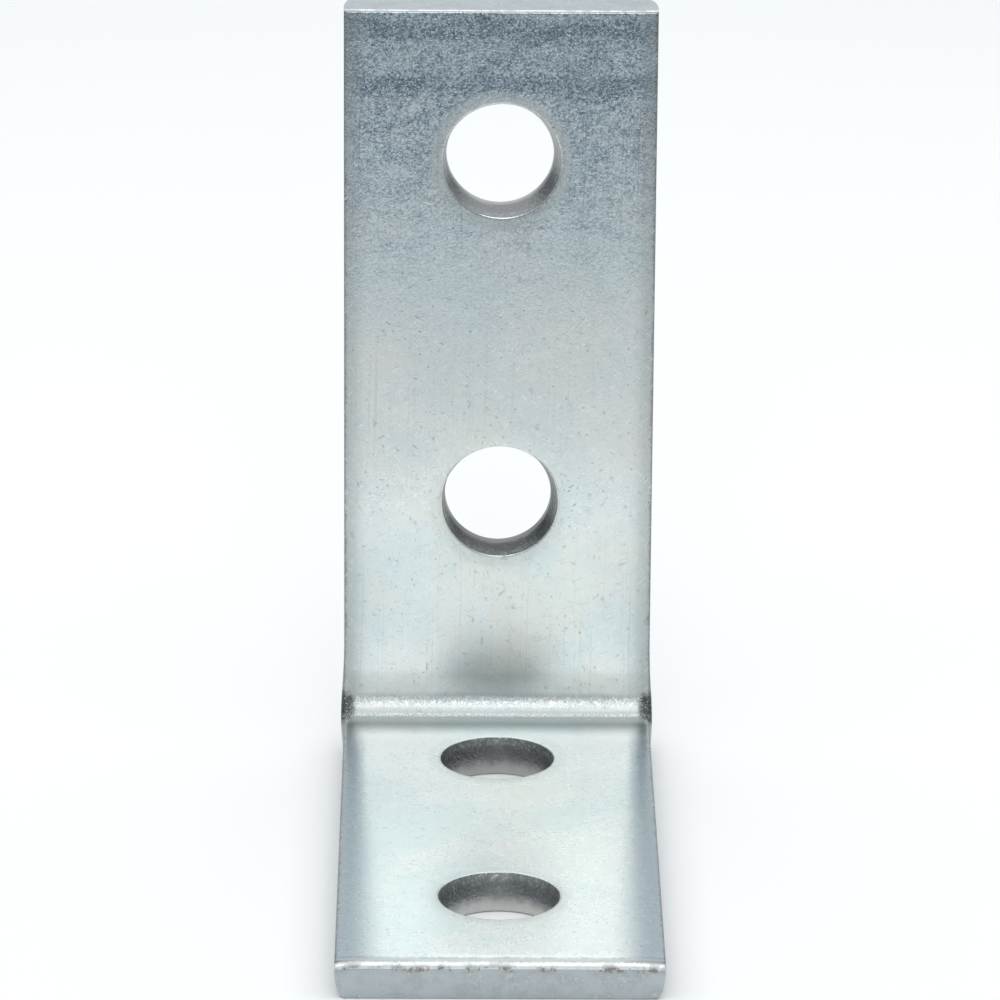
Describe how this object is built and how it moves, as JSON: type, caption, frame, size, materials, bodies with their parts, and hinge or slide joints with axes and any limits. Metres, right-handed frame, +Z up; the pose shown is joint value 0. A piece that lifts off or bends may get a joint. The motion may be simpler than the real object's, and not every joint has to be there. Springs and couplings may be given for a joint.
{
  "type": "strut angle fitting",
  "caption": "Right-angle bracket folded from zinc-plated steel strip, with punched bolt holes in an upright and a shorter foot, for joining channel framing at ninety degrees.",
  "frame": {"origin": "centre of the bounding box in plan, at the sole of the foot", "axes": "+Z up along the upright leg, +Y out of the upright's back face, so the foot runs forward along -Y, and +X across the strip's width"},
  "size_m": [0.0422, 0.0892, 0.1044],
  "materials": {
    "zinc_plated_steel": "bright zinc plate over hot-rolled strip, finely mottled"
  },
  "bodies": {
    "root": {"angle_fitting": "zinc_plated_steel"}
  },
  "joints": []
}
